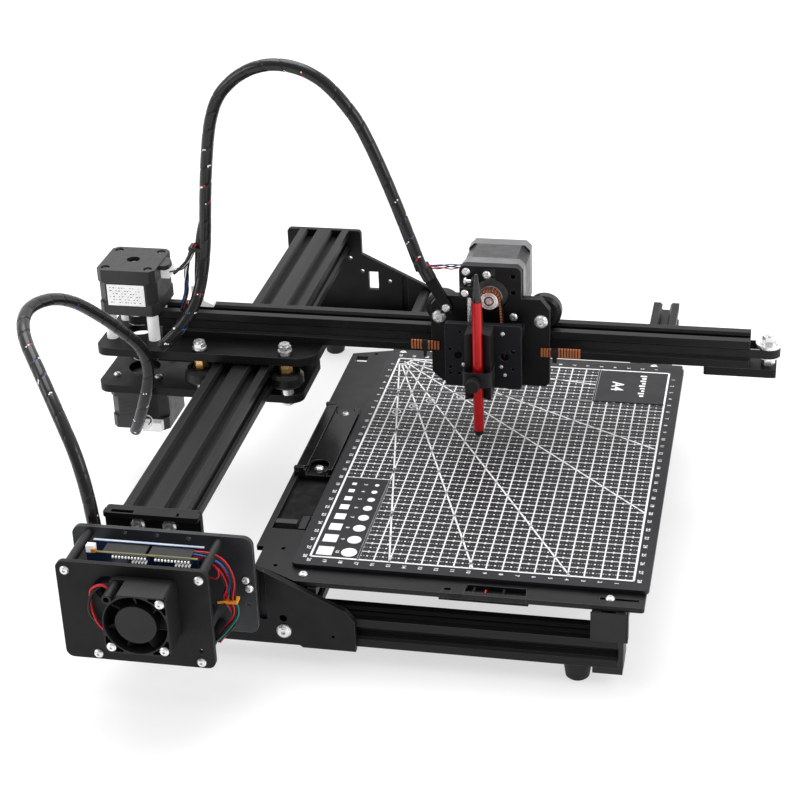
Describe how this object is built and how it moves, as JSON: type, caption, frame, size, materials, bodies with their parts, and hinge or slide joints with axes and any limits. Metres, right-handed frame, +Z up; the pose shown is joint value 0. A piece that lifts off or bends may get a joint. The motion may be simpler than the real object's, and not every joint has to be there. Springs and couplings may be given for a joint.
{
  "type": "cantilever pen plotter",
  "caption": "Cantilever XY pen plotter: V-slot frame, flat bed with gridded mat and clip, wheeled gantry and carriage, belt-driven pen lift with stylus, fan-cooled control box, wrapped cables",
  "frame": {"origin": "centre of the footprint of the whole machine without its cables, on the floor under the feet", "axes": "+X right along the cantilever beam, +Y away from the front of the control box along the fixed beam, +Z up"},
  "size_m": [0.478, 0.5388, 0.3171],
  "materials": {
    "beam_end_caps": "matt black nylon",
    "bed_frame_beams": "black anodised, fine satin",
    "bed_plate": "black anodised plate, matt",
    "bed_pocket": "matt black nylon",
    "belt_ends": "copper-coloured toothed face",
    "board_sockets": "matt black nylon",
    "box_back_plate": "black powder coat, fine grain",
    "box_front_panel": "black powder coat, fine grain",
    "box_standoffs": "matt black nylon",
    "cable_a": "black spiral wrap over thin wires",
    "cable_arm": "black powder coat, fine grain",
    "cable_b": "black spiral wrap over thin wires",
    "carriage_bolts": "bright zinc plated steel",
    "carriage_plate": "black anodised plate, matt",
    "carriage_wheel_bl": "black acetal with a pressed-in bearing",
    "carriage_wheel_br": "black acetal with a pressed-in bearing",
    "carriage_wheel_tl": "black acetal with a pressed-in bearing",
    "carriage_wheel_tr": "black acetal with a pressed-in bearing",
    "circuit_boards": "blue solder mask",
    "clip_base": "black-plated spring steel",
    "clip_lever": "black-plated spring steel",
    "cutting_mat": "dark self-healing vinyl with white print",
    "drive_belts": "black toothed belt",
    "eccentric_spacers": "turned brass",
    "end_plate_front": "black anodised plate, matt",
    "end_plate_rear": "black anodised plate, matt",
    "fan_frame": "black moulded plastic",
    "fan_rotor": "black moulded plastic",
    "feet": "black rubber",
    "frame_screws": "bright zinc plated steel",
    "gantry_bolts": "bright zinc plated steel",
    "gantry_lower_plate": "black anodised plate, matt",
    "gantry_upper_plate": "black anodised plate, matt",
    "gantry_wheel_fl": "black acetal with a pressed-in bearing",
    "gantry_wheel_fr": "black acetal with a pressed-in bearing",
    "gantry_wheel_rl": "black acetal with a pressed-in bearing",
    "gantry_wheel_rr": "black acetal with a pressed-in bearing",
    "guide_rods": "bright zinc plated steel",
    "knob_front": "knurled black nylon",
    "motor_standoffs": "white nylon",
    "pen_holder": "matt black nylon",
    "slide_plate": "blue-black anodised, satin",
    "stylus_barrel": "red anodised, glossy",
    "stylus_cap": "dark grey gloss plastic",
    "stylus_tip": "black rubber",
    "white_connectors": "white nylon",
    "x_beam": "black anodised, fine satin",
    "x_end_bracket": "black anodised plate, matt",
    "x_idler": "machined bright aluminium",
    "x_idler_bolt": "bright zinc plated steel",
    "x_motor": "black lacquered cast ends and core",
    "x_pulley": "machined bright aluminium",
    "y_beam": "black anodised, fine satin",
    "y_belt": "black toothed belt",
    "y_motor": "black lacquered cast ends and core",
    "y_pulley": "machined bright aluminium",
    "z_belt": "copper-coloured toothed face",
    "z_motor": "bare silver-grey laminated core",
    "z_pulley": "machined bright aluminium"
  },
  "bodies": {
    "base": {"y_beam": "y_beam", "bed_frame_beams": "bed_frame_beams", "beam_end_caps": "beam_end_caps", "feet": "feet", "end_plate_front": "end_plate_front", "end_plate_rear": "end_plate_rear", "bed_plate": "bed_plate", "bed_pocket": "bed_pocket", "cutting_mat": "cutting_mat", "clip_base": "clip_base", "box_back_plate": "box_back_plate", "box_front_panel": "box_front_panel", "box_standoffs": "box_standoffs", "circuit_boards": "circuit_boards", "board_sockets": "board_sockets", "fan_frame": "fan_frame", "frame_screws": "frame_screws", "y_belt": "y_belt", "cable_a": "cable_a"},
    "gantry": {"gantry_upper_plate": "gantry_upper_plate", "gantry_lower_plate": "gantry_lower_plate", "gantry_bolts": "gantry_bolts", "eccentric_spacers": "eccentric_spacers", "x_beam": "x_beam", "x_end_bracket": "x_end_bracket", "x_idler_bolt": "x_idler_bolt", "x_motor": "x_motor", "y_motor": "y_motor", "motor_standoffs": "motor_standoffs", "white_connectors": "white_connectors", "drive_belts": "drive_belts", "cable_b": "cable_b"},
    "carriage": {"carriage_plate": "carriage_plate", "carriage_bolts": "carriage_bolts", "z_motor": "z_motor", "z_belt": "z_belt", "guide_rods": "guide_rods", "belt_ends": "belt_ends", "cable_arm": "cable_arm"},
    "tool_slide": {"slide_plate": "slide_plate", "pen_holder": "pen_holder", "stylus_barrel": "stylus_barrel", "stylus_cap": "stylus_cap", "stylus_tip": "stylus_tip"},
    "fan_blades": {"fan_rotor": "fan_rotor"},
    "clip_arm": {"clip_lever": "clip_lever"},
    "gantry_wheel_fl_body": {"gantry_wheel_fl": "gantry_wheel_fl"},
    "gantry_wheel_rl_body": {"gantry_wheel_rl": "gantry_wheel_rl"},
    "gantry_wheel_fr_body": {"gantry_wheel_fr": "gantry_wheel_fr"},
    "gantry_wheel_rr_body": {"gantry_wheel_rr": "gantry_wheel_rr"},
    "carriage_wheel_tl_body": {"carriage_wheel_tl": "carriage_wheel_tl"},
    "carriage_wheel_tr_body": {"carriage_wheel_tr": "carriage_wheel_tr"},
    "carriage_wheel_bl_body": {"carriage_wheel_bl": "carriage_wheel_bl"},
    "carriage_wheel_br_body": {"carriage_wheel_br": "carriage_wheel_br"},
    "x_pulley_body": {"x_pulley": "x_pulley"},
    "y_pulley_body": {"y_pulley": "y_pulley"},
    "z_pulley_body": {"z_pulley": "z_pulley"},
    "x_idler_body": {"x_idler": "x_idler"},
    "knob_front_body": {"knob_front": "knob_front"}
  },
  "joints": [
    {"name": "y_travel", "type": "slide", "parent": "base", "child": "gantry", "axis": [0, 1, 0], "range_m": [-0.165, 0.165], "deforming": ["cable_a"]},
    {"name": "x_travel", "type": "slide", "parent": "gantry", "child": "carriage", "axis": [1, 0, 0], "range_m": [-0.07, 0.108], "deforming": ["cable_b"]},
    {"name": "z_travel", "type": "slide", "parent": "carriage", "child": "tool_slide", "axis": [0, 0, 1], "range_m": [-0.008, 0.014]},
    {"name": "fan_spin", "type": "hinge", "parent": "base", "child": "fan_blades", "pos_m": [-0.116, -0.2598, 0.076], "axis": [0, 1, 0], "continuous": true},
    {"name": "clip_hinge", "type": "hinge", "parent": "base", "child": "clip_arm", "pos_m": [-0.075, -0.0058, 0.0617], "axis": [0, -1, 0], "range_deg": [0, 65], "stiffness_Nm_per_rad": 0.06, "springref_deg": -20.05},
    {"name": "knob_front_turn", "type": "hinge", "parent": "tool_slide", "child": "knob_front_body", "pos_m": [0.0383, -0.0108, 0.1131], "axis": [0, -1, 0], "range_deg": [0, 360]},
    {"name": "gantry_wheel_fl_spin", "type": "hinge", "parent": "gantry", "child": "gantry_wheel_fl_body", "pos_m": [-0.1603, 0.0182, 0.0935], "axis": [0, 0, 1], "range_deg": [-881, 881]},
    {"name": "gantry_wheel_rl_spin", "type": "hinge", "parent": "gantry", "child": "gantry_wheel_rl_body", "pos_m": [-0.1603, 0.0742, 0.0935], "axis": [0, 0, 1], "range_deg": [-881, 881]},
    {"name": "gantry_wheel_fr_spin", "type": "hinge", "parent": "gantry", "child": "gantry_wheel_fr_body", "pos_m": [-0.0987, 0.0182, 0.0935], "axis": [0, 0, 1], "range_deg": [-881, 881]},
    {"name": "gantry_wheel_rr_spin", "type": "hinge", "parent": "gantry", "child": "gantry_wheel_rr_body", "pos_m": [-0.0987, 0.0742, 0.0935], "axis": [0, 0, 1], "range_deg": [-881, 881]},
    {"name": "carriage_wheel_tl_spin", "type": "hinge", "parent": "carriage", "child": "carriage_wheel_tl_body", "pos_m": [0.0087, 0.0462, 0.1423], "axis": [0, 1, 0], "range_deg": [-377, 578]},
    {"name": "carriage_wheel_tr_spin", "type": "hinge", "parent": "carriage", "child": "carriage_wheel_tr_body", "pos_m": [0.0783, 0.0462, 0.1423], "axis": [0, 1, 0], "range_deg": [-377, 578]},
    {"name": "carriage_wheel_bl_spin", "type": "hinge", "parent": "carriage", "child": "carriage_wheel_bl_body", "pos_m": [0.027, 0.0462, 0.1007], "axis": [0, 1, 0], "range_deg": [-578, 377]},
    {"name": "carriage_wheel_br_spin", "type": "hinge", "parent": "carriage", "child": "carriage_wheel_br_body", "pos_m": [0.06, 0.0462, 0.1007], "axis": [0, 1, 0], "range_deg": [-578, 377]},
    {"name": "x_pulley_spin", "type": "hinge", "parent": "gantry", "child": "x_pulley_body", "pos_m": [-0.2127, 0.0462, 0.1215], "axis": [0, 0, 1], "range_deg": [-604, 929]},
    {"name": "x_idler_spin", "type": "hinge", "parent": "gantry", "child": "x_idler_body", "pos_m": [0.2293, 0.0462, 0.1215], "axis": [0, 0, 1], "range_deg": [-604, 929]},
    {"name": "y_pulley_spin", "type": "hinge", "parent": "gantry", "child": "y_pulley_body", "pos_m": [-0.2127, 0.0462, 0.0935], "axis": [0, 0, 1], "range_deg": [-1555, 1555]},
    {"name": "z_pulley_spin", "type": "hinge", "parent": "carriage", "child": "z_pulley_body", "pos_m": [0.0446, 0.0222, 0.1595], "axis": [0, 1, 0], "range_deg": [-125, 74]}
  ],
  "couplings": [
    {"joint": "gantry_wheel_fl_spin", "follows": "y_travel", "rad_per_m": -92.593},
    {"joint": "gantry_wheel_rl_spin", "follows": "y_travel", "rad_per_m": -92.593},
    {"joint": "gantry_wheel_fr_spin", "follows": "y_travel", "rad_per_m": 92.593},
    {"joint": "gantry_wheel_rr_spin", "follows": "y_travel", "rad_per_m": 92.593},
    {"joint": "carriage_wheel_tl_spin", "follows": "x_travel", "rad_per_m": 92.593},
    {"joint": "carriage_wheel_tr_spin", "follows": "x_travel", "rad_per_m": 92.593},
    {"joint": "carriage_wheel_bl_spin", "follows": "x_travel", "rad_per_m": -92.593},
    {"joint": "carriage_wheel_br_spin", "follows": "x_travel", "rad_per_m": -92.593},
    {"joint": "x_pulley_spin", "follows": "x_travel", "rad_per_m": 149.25},
    {"joint": "x_idler_spin", "follows": "x_travel", "rad_per_m": 149.25},
    {"joint": "y_pulley_spin", "follows": "y_travel", "rad_per_m": 163.93},
    {"joint": "z_pulley_spin", "follows": "z_travel", "rad_per_m": -149.25}
  ]
}
